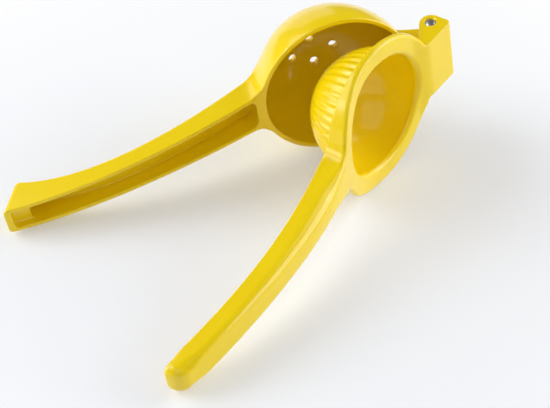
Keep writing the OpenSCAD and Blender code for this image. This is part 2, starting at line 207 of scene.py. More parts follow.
@dataclass(frozen=True)
class Stance:
    """How the shut tool's plan frame lies on the table once it is opened."""

    pin: Array
    lean: float
    roll: float
    open_angle: float

    @classmethod
    def from_joint(cls, joint: dict) -> "Stance":
        """Reads the stance from the hinge.

        Args:
            joint: The frame's hinge, whose axis leans and rolls with the tool and whose lower
                limit shuts it.

        Returns:
            The stance.
        """
        axis = np.array(joint["axis"], dtype=float)
        axis /= np.linalg.norm(axis)
        return cls(
            pin=np.array(joint["pos_m"], dtype=float),
            lean=math.atan2(-axis[0], axis[2]),
            roll=-math.asin(axis[1]),
            open_angle=-math.radians(joint["range_deg"][0]),
        )

    @staticmethod
    def turn(axis: int, angle: float) -> Array:
        """Matrix that turns about X, Y or Z, given as 0, 1 or 2, by the right-hand rule."""
        c, s = math.cos(angle), math.sin(angle)
        m = np.eye(3)
        i, j = (axis + 1) % 3, (axis + 2) % 3
        m[i, i], m[i, j], m[j, i], m[j, j] = c, -s, s, c
        return m

    def opened(self) -> Array:
        """Matrix from the opened tool's frame, pin upright and handles along -X, to the table's."""
        return self.turn(1, -self.lean) @ self.turn(0, self.roll)

    def lever(self, lever: Lever) -> Array:
        """Matrix from the plan frame to where the lever's directions lie on the table."""
        aside = self.turn(2, math.pi + lever.side * self.open_angle / 2)
        return self.opened() @ aside @ self.turn(0, math.pi)

    def place(self, points: Array, lever: Lever) -> Array:
        """Points of a lever in the plan frame, laid on the table in metres."""
        return points * MM @ self.lever(lever).T + self.pin


# ---------------------------------------------------------------- skins and meshes


@dataclass
class Skin:
    """Points, faces and outward directions of a closed surface, as arrays."""

    points: Array
    faces: Array
    normals: Array


CELL_EDGES = [
    (a, b)
    for a in range(CELL_CORNERS)
    for b in range(a + 1, CELL_CORNERS)
    if (a ^ b).bit_count() == 1
]


def corner(index: int) -> Array:
    """Offset of a cell's corner, from the three bits of its number."""
    return np.array([index & 1, index >> 1 & 1, index >> 2 & 1])


def skin_of(solid: Field, axes: Axes) -> Skin:
    """Skins a distance field.

    Each cell that the surface crosses gets one point, at the mean of the crossings on its edges,
    moved down the gradient until the field there is zero. Each grid edge that the surface cuts
    gets one face round it.

    Args:
        solid: Distance at coordinates x, y and z, negative inside.
        axes: Grid coordinates along X, Y and Z, which reach past the solid on every side.

    Returns:
        The skin.
    """
    xs, ys, zs = axes
    slabs = [xs[i : i + SLAB, None, None] for i in range(0, len(xs), SLAB)]
    values = np.concatenate([solid(x, ys[None, :, None], zs[None, None, :]) for x in slabs])
    within = values < 0
    count = np.zeros(tuple(n - 1 for n in values.shape), np.uint8)
    nx, ny, nz = count.shape
    for c in range(CELL_CORNERS):
        i, j, k = corner(c)
        count += within[i : i + nx, j : j + ny, k : k + nz]
    cells = np.argwhere((count > 0) & (count < CELL_CORNERS))
    place = np.zeros((len(cells), 3))
    hits = np.zeros(len(cells))
    for a, b in CELL_EDGES:
        pa, pb = cells + corner(a), cells + corner(b)
        fa, fb = values[tuple(pa.T)], values[tuple(pb.T)]
        crossed = (fa < 0) != (fb < 0)
        share = np.where(crossed, fa / np.where(crossed, fa - fb, 1.0), 0.0)
        place += crossed[:, None] * (corner(a) + share[:, None] * (corner(b) - corner(a)))
        hits += crossed
    place = cells + place / hits[:, None]
    points = np.stack(
        [np.interp(place[:, d], np.arange(len(line)), line) for d, line in enumerate(axes)], axis=1
    )
    ids = np.full(count.shape, -1, np.int64)
    ids[tuple(cells.T)] = np.arange(len(cells))
    faces = np.concatenate([faces_along(d, within, ids) for d in range(3)])
    points, normals = settled_on(solid, points, float(np.min(np.diff(ys))))
    return Skin(points, faces, normals)


def faces_along(axis: int, within: Array, ids: Array) -> Array:
    """Faces round the grid edges of one direction that the surface cuts, turned outwards.

    Args:
        axis: Direction of the edges, 0 to 2.
        within: Whether each grid point is inside.
        ids: Number of each cell's point, or -1.

    Returns:
        Four point numbers for each face.
    """
    u, v = (axis + 1) % 3, (axis + 2) % 3
    low = [slice(None)] * 3
    high = [slice(None)] * 3
    low[axis], high[axis] = slice(0, -1), slice(1, None)
    low[u] = high[u] = slice(1, -1)
    low[v] = high[v] = slice(1, -1)
    inner, outer = within[tuple(low)], within[tuple(high)]
    parts = []
    for leaving in (True, False):
        edges = np.argwhere(inner & ~outer if leaving else ~inner & outer)
        ring = []
        for du, dv in ((0, 0), (1, 0), (1, 1), (0, 1)):
            cell = edges.copy()
            cell[:, u] += du
            cell[:, v] += dv
            ring.append(ids[tuple(cell.T)])
        quad = np.stack(ring, axis=1)
        parts.append(quad if leaving else quad[:, ::-1])
    return np.concatenate(parts)


def gradient_of(solid: Field, points: Array) -> tuple[Array, Array]:
    """Unit gradients of a distance field at points, and the gradients' lengths."""
    reach = GRADIENT_STEP
    sides = [solid(*(points + reach * d).T) - solid(*(points - reach * d).T) for d in np.eye(3)]
    slope = np.stack(sides, axis=1) / (2 * reach)
    size = np.maximum(np.linalg.norm(slope, axis=1), 1e-6)
    return slope / size[:, None], size


def settled_on(solid: Field, points: Array, pitch: float) -> tuple[Array, Array]:
    """Moves points onto the surface and finds its outward directions there.

    Args:
        solid: The distance field.
        points: Points near its surface.
        pitch: Grid pitch; a step is never longer than a third of it.

    Returns:
        The moved points and the unit gradients.
    """
    for _ in range(SETTLE_PASSES):
        outward, size = gradient_of(solid, points)
        step = np.clip(solid(*points.T) / size, -pitch / 3, pitch / 3)
        points = points - outward * step[:, None]
    return points, gradient_of(solid, points)[0]


def mesh_piece(
    name: str, skin: Skin, lever: Lever, stance: Stance, finish: Material
) -> bpy.types.Object:
    """Makes a piece of a skin given in the plan frame, laid where its lever lies.

    Args:
        name: The piece's name.
        skin: Its surface.
        lever: The lever that it belongs to.
        stance: Where the levers lie.
        finish: Its material.

    Returns:
        The piece, linked to the scene and riding on the lever's body.
    """
    mesh = bpy.data.meshes.new(name)
    points = stance.place(skin.points, lever)
    corners = skin.faces.shape[1]
    mesh.vertices.add(len(points))
    mesh.vertices.foreach_set("co", points.astype(np.float32).ravel())
    mesh.loops.add(skin.faces.size)
    mesh.loops.foreach_set("vertex_index", skin.faces.astype(np.int32).ravel())
    mesh.polygons.add(len(skin.faces))
    mesh.polygons.foreach_set("loop_start", np.arange(0, skin.faces.size, corners, dtype=np.int32))
    mesh.update(calc_edges=True)
    mesh.polygons.foreach_set("use_smooth", np.ones(len(skin.faces), bool))
    normals = skin.normals @ stance.lever(lever).T
    mesh.normals_split_custom_set_from_vertices(normals.tolist())
    mesh.materials.append(finish)
    piece = bpy.data.objects.new(name, mesh)
    bpy.context.scene.collection.objects.link(piece)
    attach(piece, lever.body)
    LOG.info("%s: %d points, %d faces on %s", name, len(points), len(skin.faces), lever.body)
    return piece


def steps(low: float, high: float, pitch: float) -> Array:
    """Evenly spaced values from low to at least high."""
    return np.arange(low, high + pitch, pitch)


def casting_grid(
    along: tuple[float, ...], across: Point, reach: float, pitch: float, handle_pitch: float
) -> Axes:
    """Grid for a casting, symmetric in Z, with cells that are longer along the handle.

    Args:
        along: X of the casting's start, of the end of its fine head, of the start of its fine
            tip and of its end.
        across: Lowest Y of the grid and highest Y of the casting.
        reach: Greatest Z of the casting.
        pitch: Size of a cell.
        handle_pitch: Length of a cell along the handle.

    Returns:
        Grid coordinates along X, Y and Z, with a margin of two cells.
    """
    margin = 2 * pitch
    head = steps(along[0] - margin, along[1], pitch)
    rest = steps(head[-1] + handle_pitch, along[2], handle_pitch)
    tip = steps(rest[-1] + pitch, along[3] + margin, pitch)
    half = steps(pitch / 2, reach + margin, pitch)
    xs = np.concatenate([head, rest, tip])
    return xs, steps(across[0], across[1] + margin, pitch), np.concatenate([-half[::-1], half])


# ---------------------------------------------------------------- the castings


@dataclass
class Hinge:
    """Sizes of the knuckle that joins the levers."""

    pin_d: float = 5.0
    height: float = 31.0
    ear_t: float = 4.9
    ear_r: float = 5.2
    tongue_r: float = 4.6
    web_t: float = 3.3
    web_gap: float = 0.3
    side_gap: float = 0.3
    bore_gap: float = 0.08
    pin_gap: float = 0.03
    pin_recess: float = 0.5
    block_len: float = 14.0
    block_slope: float = 9.0
    block_round: float = 2.5
    bore_round: float = 0.8

    @property
    def slot_half(self) -> float:
        """Half of the slot between the ears."""
        return self.height / 2 - self.ear_t

    @property
    def web_y(self) -> float:
        """Inner face of the web."""
        return -self.tongue_r - self.web_gap

    @property
    def block_y(self) -> float:
        """Outer face of the hinge block."""
        return self.web_y - self.web_t


@dataclass
class HandleWidths:
    """Width of a handle along its length: a quadratic curve from root to tip."""

    root: float
    middle: float
    tip: float
    root_x: float
    tip_x: float

    def half(self, x: Array) -> Array:
        """Half of the width at x: the three widths weighed by the quadratic Bernstein terms."""
        t = np.clip((x - self.root_x) / (self.tip_x - self.root_x), 0.0, 1.0)
        return ((1 - t) ** 2 * self.root + 2 * t * (1 - t) * self.middle + t * t * self.tip) / 2


@dataclass
class BowlLever:
    """The casting of bowl, channel handle and tongue."""

    hinge: Hinge
    bowl_x: float = 48.5
    rim_r: float = 36.3
    depth: float = 39.3
    wall: float = 2.3
    crown_wall: float = 3.5
    side_r: float = 42.0
    rim_y: float = -2.4
    rim_round: float = 0.7
    drain_d: float = 4.0
    drain_ring_r: float = 12.0
    drain_count: int = 6
    drain_round: float = 0.4
    root_blend: float = 8.0
    edge_round: float = 2.4
    end_round: float = 2.2
    lip_t: float = 2.0
    floor_t: float = 2.4
    channel_start: float = 87.5
    channel_step: float = 197.5
    channel_end: float = 206.0
    pocket_depth: float = 4.0
    channel_round: float = 0.9
    pocket_round: float = 1.2
    start_round: float = 3.5
    tongue_rise: float = 8.6
    tongue_top: float = 48.0
    tongue_foot: float = 33.0
    tongue_flat_x: float = 10.5
    grid_low: float = -19.0
    pitch: float = 0.62
    handle_pitch: float = 1.3
    widths: HandleWidths = field(
        default_factory=lambda: HandleWidths(18.8, 14.0, 13.6, 89.9, 207.8)
    )
    back: PlanEdge = PlanEdge(((67.0, 20.5), (67.0, 20.5), (154.7, -21.3), (198.4, 1.9)))
    mouth: PlanEdge = PlanEdge(((86.2, -2.4), (87.2, -2.4), (151.3, -21.4), (207.8, -14.5)))
    end_back: Point = (200.2, 1.3)
    end_mouth: Point = (208.7, -12.9)

    def cup(self, r: Array, y: Array, off_side: float, off_crown: float) -> Array:
        """Distance to the bowl's form, or to that of its hollow.

        The side is an arc whose centre lies past the axis by set_in. The crown is an arc about a
        point of the axis that runs into the side without a corner: with slack, by which the side's
        radius is more than the depth, its height is (set_in squared - slack squared) / (2 slack).

        Args:
            r: Distances from the bowl's axis.
            y: Heights in the plan frame.
            off_side: What the wall takes off the side.
            off_crown: What the wall takes off the crown.

        Returns:
            The distances, negative inside.
        """
        side_r, depth = self.side_r - off_side, self.depth - off_crown
        set_in, slack = self.side_r - self.rim_r, side_r - depth
        crown_y = (set_in**2 - slack**2) / (2 * slack)
        up = np.maximum(y - self.rim_y, 0.0)
        side = np.hypot(r + set_in, up) - side_r
        crown = np.hypot(r, up - crown_y) - (depth - crown_y)
        return np.where(up < crown_y + r * crown_y / set_in, side, crown)

    def handle(self, x: Array, y: Array, z: Array) -> Array:
        """Distance to the handle before its mouth is cut: width and back edge, rounded together."""
        beside = np.abs(z) - self.widths.half(x)
        solid = rounded_common(beside, self.back.above(x, y), self.edge_round)
        end = beside_line(x, y, self.end_back, self.end_mouth)
        return np.maximum(rounded_common(solid, end, self.end_round), self.bowl_x - x)

    def tongue(self, x: Array, y: Array, z: Array) -> Array:
        """Distance to the wedge between knuckle and bowl, without its lower edge."""
        reach = self.bowl_x - self.rim_r + self.wall
        start = on_round(self.hinge.tongue_r, self.tongue_top)
        over = beside_line(x, y, start, (reach, self.tongue_rise))
        wedge = np.maximum(np.maximum(over, -x), x - reach - self.wall)
        beside = np.abs(z) - self.hinge.slot_half + self.hinge.side_gap
        return rounded_common(wedge, beside, self.rim_round)

    def lower_edge(self, x: Array, y: Array) -> Array:
        """Distance past the rim's plane, the tongue's inner edge or the handle's mouth."""
        down, out = on_round(self.hinge.tongue_r, self.tongue_foot)
        tongue_edge = -beside_line(x, y, (out, -down), (self.tongue_flat_x, self.rim_y))
        return np.where(x < self.tongue_flat_x, tongue_edge, -self.mouth.above(x, y))

    def channel(self, x: Array, y: Array, z: Array) -> Array:
        """Distance to the handle's channel and to its shallow end by the tip."""
        beside = np.abs(z) - self.widths.half(x) + self.lip_t
        deep = rounded_common(beside, self.back.above(x, y) + self.floor_t, self.channel_round)
        deep = rounded_common(deep, self.channel_start - x, self.start_round)
        deep = rounded_common(deep, x - self.channel_step, self.pocket_round)
        floor = self.mouth.above(x, y) - self.pocket_depth
        shallow = rounded_common(floor, x - self.channel_end, self.pocket_round)
        shallow = rounded_common(beside, shallow, self.pocket_round)
        return np.minimum(deep, np.maximum(shallow, self.channel_step - self.lip_t - x))

    def drains(self, x: Array, y: Array, z: Array) -> Array:
        """Distance to the drain holes: one on the bowl's axis and a ring of them round it."""
        across, ring_r = x - self.bowl_x, self.drain_ring_r
        near = np.hypot(across, z)
        for i in range(self.drain_count):
            turn = (i + 0.5) * 2 * math.pi / self.drain_count
            hole = np.hypot(across - ring_r * math.cos(turn), z - ring_r * math.sin(turn))
            near = np.minimum(near, hole)
        return np.maximum(near - self.drain_d / 2, -y)

    def solid(self, x: Array, y: Array, z: Array) -> Array:
        """Distance to the whole casting."""
        r = np.hypot(x - self.bowl_x, z)
        body = blended_union(self.cup(r, y, 0.0, 0.0), self.handle(x, y, z), self.root_blend)
        body = blended_union(body, self.tongue(x, y, z), self.root_blend / 3)
        body = rounded_common(body, self.lower_edge(x, y), self.rim_round)
        half = self.hinge.slot_half - self.hinge.side_gap
        barrel = np.hypot(x, y) - self.hinge.tongue_r
        body = np.minimum(body, rounded_common(barrel, np.abs(z) - half, self.rim_round))
        body = rounded_common(body, -self.cup(r, y, self.wall, self.crown_wall), self.rim_round)
        body = rounded_common(body, -self.channel(x, y, z), self.rim_round)
        body = rounded_common(body, -self.drains(x, y, z), self.drain_round)
        bore = self.hinge.pin_d / 2 + self.hinge.bore_gap - np.hypot(x, y)
        return np.maximum(body, bore)

    def skin(self) -> Skin:
        """The casting's skin."""
        fine_end, fine_start = self.channel_start + FINE_PAST, self.channel_step - FINE_BEFORE
        along = (-self.hinge.tongue_r, fine_end, fine_start, self.end_mouth[0])
        across = (self.grid_low, self.rim_y + self.depth)
        grid = casting_grid(along, across, self.rim_r, self.pitch, self.handle_pitch)
        return skin_of(self.solid, grid)


@dataclass
class PressLever:
    """The casting of flange, handle and hinge block, without the dome that stands on it."""

    hinge: Hinge
    bowl_x: float = 48.5
    flange_r: float = 37.6
    seat_y: float = -2.8
    face_y: float = -5.8
    hollow_r: float = 27.8
    mouth_round: float = 2.6
    face_round: float = 0.9
    bead_round: float = 2.0
    seat_round: float = 0.6
    root_round: float = 6.2
    root_zone: Point = (86.0, 104.0)
    edge_round: float = 3.0
    edge_zone: Point = (105.0, 190.0)
    end_round: float = 4.4
    tip_round: float = 5.4
    tip_zone: Point = (197.0, 208.0)
    inner_root_zone: Point = (86.0, 96.0)
    tip_inner_round: float = 2.6
    inner_tip_zone: Point = (200.0, 209.0)
    root_blend: float = 7.0
    ear_in: float = 60.0
    step_lead: float = 2.0
    block_zone: Point = (2.0, 11.0)
    block_edge: float = 0.3
    block_sink: float = 0.5
    block_short: float = 1.0
    block_blend: float = 0.8
    lip_t: float = 2.4
    hollow_start: float = 104.0
    hollow_end: float = 200.0
    hollow_depth: float = 4.5
    hollow_round: float = 1.0
    grid_low: float = -26.5
    pitch: float = 0.6
    handle_pitch: float = 1.2
    widths: HandleWidths = field(
        default_factory=lambda: HandleWidths(17.5, 14.6, 14.4, 89.9, 209.0)
    )
    back: PlanEdge = PlanEdge(((50.0, -5.8), (92.3, -5.8), (82.0, -31.6), (209.0, -25.1)))
    inner: PlanEdge = PlanEdge(((83.8, -2.8), (94.9, -2.8), (130.2, -21.4), (209.0, -15.8)))
    end_back: Point = (212.0, -25.2)
    end_inner: Point = (213.5, -15.8)

    def outer_face(self, x: Array, y: Array) -> Array:
        """Distance past the outer faces.

        The hinge block steps down to the flange, and the flange ramps to the handle.
        """
        start = self.hinge.block_len - self.step_lead
        end = self.hinge.block_len + self.hinge.block_slope
        step = (1 - eased(x, start, end)) * (self.hinge.block_y - self.face_y)
        return -self.back.above(x, y - step)

    def block(self, x: Array, y: Array, z: Array) -> Array:
        """Distance to the hinge block: slotted ears round the pin, cut off at the flange."""
        h = self.hinge
        round_part = np.hypot(x, y) - h.ear_r
        tangent = on_round(h.ear_r, self.ear_in)
        under = beside_line(x, y, tangent, (h.block_len, self.seat_y))
        chord = beside_line(x, y, (-h.ear_r, 0.0), tangent)
        end_x = self.bowl_x - self.hollow_r - self.block_short
        plate = np.maximum(np.maximum(under, chord), np.maximum(-h.ear_r - x, x - end_x))
        sunk = np.maximum(plate, y - self.seat_y + self.block_sink)
        plan = np.minimum(round_part, np.where(x > h.block_len, sunk, plate))
        plan_round = h.block_round * (1 - eased(x, *self.block_zone)) + self.block_edge
        plan = rounded_common(plan, self.outer_face(x, y), plan_round)
        ears = rounded_common(plan, np.abs(z) - h.height / 2, self.face_round)
        slot = np.maximum(np.abs(z) - h.slot_half, h.web_y - y)
        return rounded_common(ears, -slot, self.face_round / 2)

    def solid(self, x: Array, y: Array, z: Array) -> Array:
        """Distance to the whole casting."""
        r = np.hypot(x - self.bowl_x, z)
        beside = np.abs(z) - self.widths.half(x)
        end = -beside_line(x, y, self.end_back, self.end_inner)
        strip = rounded_common(np.maximum(beside, self.bowl_x - x), end, self.end_round)
        outline = blended_union(r - self.flange_r, strip, self.root_blend)
        outer, inner = self.outer_face(x, y), self.inner.above(x, y)
        far_changes = (
            (self.root_zone, self.root_round),
            (self.edge_zone, self.edge_round),
            (self.tip_zone, self.tip_round),
        )
        near_changes = (
            (self.inner_root_zone, self.face_round),
            (self.inner_tip_zone, self.tip_inner_round),
        )
        body = rounded_common(outline, outer, changing(x, self.bead_round, far_changes))
        body = rounded_common(body, inner, changing(x, self.seat_round, near_changes))
        body = blended_union(body, self.block(x, y, z), self.block_blend)
        body = np.maximum(body, rounded_common(outer, self.hollow_r - r, self.mouth_round))
        hollow = np.maximum(-inner - self.hollow_depth, beside + self.lip_t)
        ends = np.maximum(self.hollow_start - x, x - self.hollow_end)
        hollow = rounded_common(hollow, ends, self.hollow_round)
        body = rounded_common(body, -hollow, self.face_round / 2)
        bore = self.hinge.pin_d / 2 + self.hinge.pin_gap - np.hypot(x, y)
        return rounded_common(body, bore, self.hinge.bore_round)

    def skin(self) -> Skin:
        """The casting's skin."""
        fine_start = self.hollow_end - FINE_BEFORE
        along = (-self.hinge.ear_r, self.hollow_start, fine_start, self.end_inner[0])
        across = (self.grid_low, self.hinge.ear_r)
        grid = casting_grid(along, across, self.flange_r, self.pitch, self.handle_pitch)
        return skin_of(self.solid, grid)


@dataclass
class Dome:
    """The fluted dome: a closed shell that stands on the flange and lines its hollow."""

    lever: PressLever
    radius: float = 29.8
    depth: float = 30.0
    wall: float = 2.0
    flutes: int = 45
    flute_depth: float = 0.8
    flute_top: float = 52.0
    flute_low: float = 0.8
    flute_full: float = 2.8
    foot_round: float = 1.0
    foot_rings: int = 6
    seat_overlap: float = 0.02
    facets: int = 14
    rings: int = 64
    lining_gap: float = 0.02
    lining_t: float = 0.3
    lining_edge: float = 0.02
    lining_slope: float = 0.2
    lining_lift: float = 0.05

    def outer(self, turn: Array, rise: Array) -> Array:
        """Points of the outer face.

        The radius is that of the dome times the cosine of the rise, less the flutes: half their
        depth times one plus the cosine of their phase, fading evenly towards their top and softly
        into the band at the foot. At the foot it flares by a quarter round.

        Args:
            turn: Angles round the axis.
            rise: Angles up the dome.

        Returns:
            Points in the plan frame.
        """
        height = self.depth * np.sin(rise)
        foot = np.clip(1 - height / self.foot_round, 0, 1)
        fade = np.clip(1 - np.degrees(rise) / self.flute_top, 0, 1)
        fade = fade * eased(height, self.flute_low, self.flute_full)
        valley = (1 + np.cos(turn * self.flutes)) / 2
        r = self.radius * np.cos(rise) - self.flute_depth * fade * valley
        r = r + self.foot_round * (1 - np.sqrt(np.clip(1 - foot * foot, 0, 1)))
        return self.placed(r, turn, self.lever.seat_y + height - self.seat_overlap)

    def placed(self, r: Array, turn: Array, y: Array) -> Array:
        """Points at a radius and an angle round the dome's axis."""
        x = self.lever.bowl_x + r * np.cos(turn)
        return np.stack([x, y + 0 * turn, r * np.sin(turn)], axis=-1)

    def skin(self) -> Skin:
        """Outer face from foot to crown, inner face down again, and the flange's lining."""
        count = self.flutes * self.facets
        turn = np.linspace(0, 2 * math.pi, count, endpoint=False)[None, :]
        low = np.linspace(0, self.foot_round, self.foot_rings, endpoint=False)
        high = np.linspace(math.asin(self.foot_round / self.depth), math.pi / 2, self.rings)
        rise = np.concatenate([np.arcsin(low / self.depth), high])[:, None]
        outer = self.outer(turn, rise[:-1])
        bore = self.lever.hollow_r - self.lining_gap
        down = np.linspace(math.pi / 2, 0, self.rings // 2)[1:, None]
        inner_y = self.lever.seat_y + (self.depth - self.wall) * np.sin(down)
        inner = self.placed(bore * np.cos(down), turn, inner_y)
        foot_y = self.lever.face_y + self.lever.mouth_round + self.lining_lift
        profile = np.array(
            [
                (bore, foot_y + self.lining_edge),
                (bore, foot_y),
                (bore + self.lining_t, foot_y + self.lining_slope),
                (bore + self.lining_t, self.lever.seat_y - self.lining_lift),
            ]
        )
        lining = self.placed(profile[:, :1], turn, profile[:, 1:])
        rings = np.concatenate([outer, inner, lining])
        return self.closed(rings, len(outer), count)

    def closed(self, rings: Array, crown: int, count: int) -> Skin:
        """Joins rings of points into a closed skin.

        Args:
            rings: Points by ring: the first ones climb the outer face, the others come down the
                inner one and round the foot to the first ring again.
            crown: Number of rings on the outer face.
            count: Points in a ring.

        Returns:
            The skin, in triangles, with a point at each pole.
        """
        total = len(rings)
        crown_y = self.lever.seat_y + self.depth
        poles = [
            [self.lever.bowl_x, crown_y - self.seat_overlap, 0.0],
            [self.lever.bowl_x, crown_y - self.wall, 0.0],
        ]
        points = np.concatenate([rings.reshape(-1, 3), poles])
        i = np.arange(count)
        j = (i + 1) % count
        pairs = [(k, (k + 1) % total) for k in range(total) if k != crown - 1]
        quads = np.concatenate(
            [
                np.stack([a * count + i, b * count + i, b * count + j, a * count + j], axis=1)
                for a, b in pairs
            ]
        )
        rim, eye = (crown - 1) * count, crown * count
        top, under = np.full(count, total * count), np.full(count, total * count + 1)
        over = np.stack([rim + i, top, rim + j], axis=1)
        inside = np.stack([eye + j, under, eye + i], axis=1)
        halves = np.concatenate([quads[:, [0, 1, 2]], quads[:, [0, 2, 3]], over, inside])
        return Skin(points, halves, self.directions(points, halves))

    @staticmethod
    def directions(points: Array, faces: Array) -> Array:
        """Outward direction at each point: the mean of its faces' ones, weighed by their size."""
        a, b, c = (points[faces[:, n]] for n in range(3))
        lean = np.cross(b - a, c - a)
        sums = np.zeros_like(points)
        for n in range(3):
            for d in range(3):
                sums[:, d] += np.bincount(faces[:, n], weights=lean[:, d], minlength=len(points))
        return sums / np.maximum(np.linalg.norm(sums, axis=1), 1e-12)[:, None]


@dataclass
class HingePin:
    """The steel pin: a turned rod with low domed ends."""

    hinge: Hinge
    chamfer: float = 0.45
    chamfer_in: float = 0.3
    chamfer_down: float = 0.4
    crown: float = 0.42
    crown_rings: int = 4
    facets: int = 72

    def skin(self) -> Skin:
        """The profile turned about Z: a low crown and a soft chamfer at each end, and the side."""
        r, half = self.hinge.pin_d / 2, self.hinge.height / 2 - self.hinge.pin_recess
        shares = np.linspace(1 / self.crown_rings, 1.0, self.crown_rings)
        profile = [((r - self.chamfer) * t, half + self.crown * (1 - t * t)) for t in shares]
        middle = (r - self.chamfer * self.chamfer_in, half - self.chamfer * self.chamfer_down)
        profile += [middle, (r, half - self.chamfer)]
        profile += [(radius, -height) for radius, height in reversed(profile)]
        turn = np.linspace(0, 2 * math.pi, self.facets, endpoint=False)
        rings = [
            np.stack([radius * np.cos(turn), radius * np.sin(turn), height + 0 * turn], axis=1)
            for radius, height in profile
        ]
        points = np.concatenate([*rings, [[0, 0, half + self.crown], [0, 0, -half - self.crown]]])
        i = np.arange(self.facets)
        j = (i + 1) % self.facets
        last = (len(profile) - 1) * self.facets
        top, under = (np.full(self.facets, len(points) - n) for n in (2, 1))
        faces = [np.stack([i, j, top], axis=1), np.stack([last + j, last + i, under], axis=1)]
        for a in range(0, last, self.facets):
            b = a + self.facets
            faces.append(np.stack([a + i, b + i, b + j], axis=1))
            faces.append(np.stack([a + i, b + j, a + j], axis=1))
        faces = np.concatenate(faces)
        return Skin(points, faces, Dome.directions(points, faces))


# ---------------------------------------------------------------- finishes

# Scale, detail and height of each relief in the paint; scale and detail of its thin spots.
CAST_RELIEF = {"Wave": (60.0, 1.5, 1.0), "Peel": (900.0, 2.0, 0.12)}
THIN_SPOTS = (38.0, 3.0)


def linear(red: int, green: int, blue: int) -> Colour:
    """A screen colour of 0 to 255 as the linear colour that a shader takes, by the sRGB curve."""
    shares = (value / 255 for value in (red, green, blue))
    curve = (c / 12.92 if c <= 0.04045 else ((c + 0.055) / 1.055) ** 2.4 for c in shares)
    return *curve, 1.0


def node_group(name: str, inputs: dict[str, float], outputs: dict[str, str]) -> Tree:
    """An empty shader group with number inputs and named outputs.

    Args:
        name: The group's name.
        inputs: Each input's name and what it is when nothing sets it.
        outputs: Each output's name and socket type.

    Returns:
        The group, with its input and output nodes in place.
    """
    tree = bpy.data.node_groups.new(name, "ShaderNodeTree")
    for label, value in inputs.items():
        socket = tree.interface.new_socket(label, in_out="INPUT", socket_type="NodeSocketFloat")
        socket.default_value = value
    for label, kind in outputs.items():
        tree.interface.new_socket(label, in_out="OUTPUT", socket_type=kind)
    tree.nodes.new("NodeGroupInput")
    tree.nodes.new("NodeGroupOutput")
    return tree


def noise(tree: Tree, vector: Socket, scale: float, detail: float) -> Socket:
    """A noise texture on the given coordinates, as the socket that holds its value."""
    node = tree.nodes.new("ShaderNodeTexNoise")
    node.inputs["Scale"].default_value = scale
    node.inputs["Detail"].default_value = detail
    tree.links.new(vector, node.inputs["Vector"])
    return node.outputs["Fac"]


def worked(tree: Tree, operation: str, first: Socket, second: Socket) -> Socket:
    """Two values put through a Math node, as the socket that holds the result."""
    node = tree.nodes.new("ShaderNodeMath")
    node.operation = operation
    tree.links.new(first, node.inputs[0])
    tree.links.new(second, node.inputs[1])
    return node.outputs[0]


def principled(name: str, values: dict[str, float | Colour]) -> Material:
    """A material of one Principled shader, with the given values on its sockets."""
    made = bpy.data.materials.new(name)
    made.use_nodes = True
    for label, value in values.items():
        made.node_tree.nodes["Principled BSDF"].inputs[label].default_value = value
    return made


def textured(
    tree: Tree,
    value: Socket,
    height: Socket,
    stops: tuple[tuple[float, Colour], ...],
    gloss: Point,
    relief: Point,
) -> None:
    """Drives the Principled shader's colour, roughness and normal.

    Args:
        tree: The material's tree.
        value: What sets the colour and the roughness, from 0 to 1.
        height: What sets the relief.
        stops: Two pairs of a value and the colour there.
        gloss: Roughness at 0 and at 1.
        relief: The relief's strength, and its depth in metres.
    """
    shader = tree.nodes["Principled BSDF"]
    ramp = tree.nodes.new("ShaderNodeValToRGB")
    for element, (position, colour) in zip(ramp.color_ramp.elements, stops):
        element.position, element.color = position, colour
    sheen = tree.nodes.new("ShaderNodeMapRange")
    sheen.inputs["To Min"].default_value, sheen.inputs["To Max"].default_value = gloss
    bump = tree.nodes.new("ShaderNodeBump")
    bump.inputs["Strength"].default_value, bump.inputs["Distance"].default_value = relief
    for start, end in (
        (value, ramp.inputs["Fac"]),
        (ramp.outputs["Color"], shader.inputs["Base Color"]),
        (value, sheen.inputs["Value"]),
        (sheen.outputs["Result"], shader.inputs["Roughness"]),
        (height, bump.inputs["Height"]),
        (bump.outputs["Normal"], shader.inputs["Normal"]),
    ):
        tree.links.new(start, end)


def cast_skin_group() -> Tree:
    """Relief and mottling of paint over a casting: wide waves, a fine orange peel, thin spots."""
    outputs = {"Height": "NodeSocketFloat", "Thin": "NodeSocketFloat"}
    tree = node_group("cast_skin", {label: 1.0 for label in CAST_RELIEF}, outputs)
    entry, leave = tree.nodes["Group Input"], tree.nodes["Group Output"]
    place = tree.nodes.new("ShaderNodeTexCoord").outputs["Object"]
    total = None
    for label, (scale, detail, size) in CAST_RELIEF.items():
        texture = noise(tree, place, scale, detail)
        sized = tree.nodes.new("ShaderNodeMath")
        sized.operation = "MULTIPLY_ADD"
        sized.inputs[1].default_value = size
        sized.inputs[2].default_value = 0.0
        tree.links.new(worked(tree, "MULTIPLY", texture, entry.outputs[label]), sized.inputs[0])
        if total is not None:
            tree.links.new(total, sized.inputs[2])
        total = sized.outputs[0]
    tree.links.new(total, leave.inputs["Height"])
    tree.links.new(noise(tree, place, *THIN_SPOTS), leave.inputs["Thin"])
    return tree


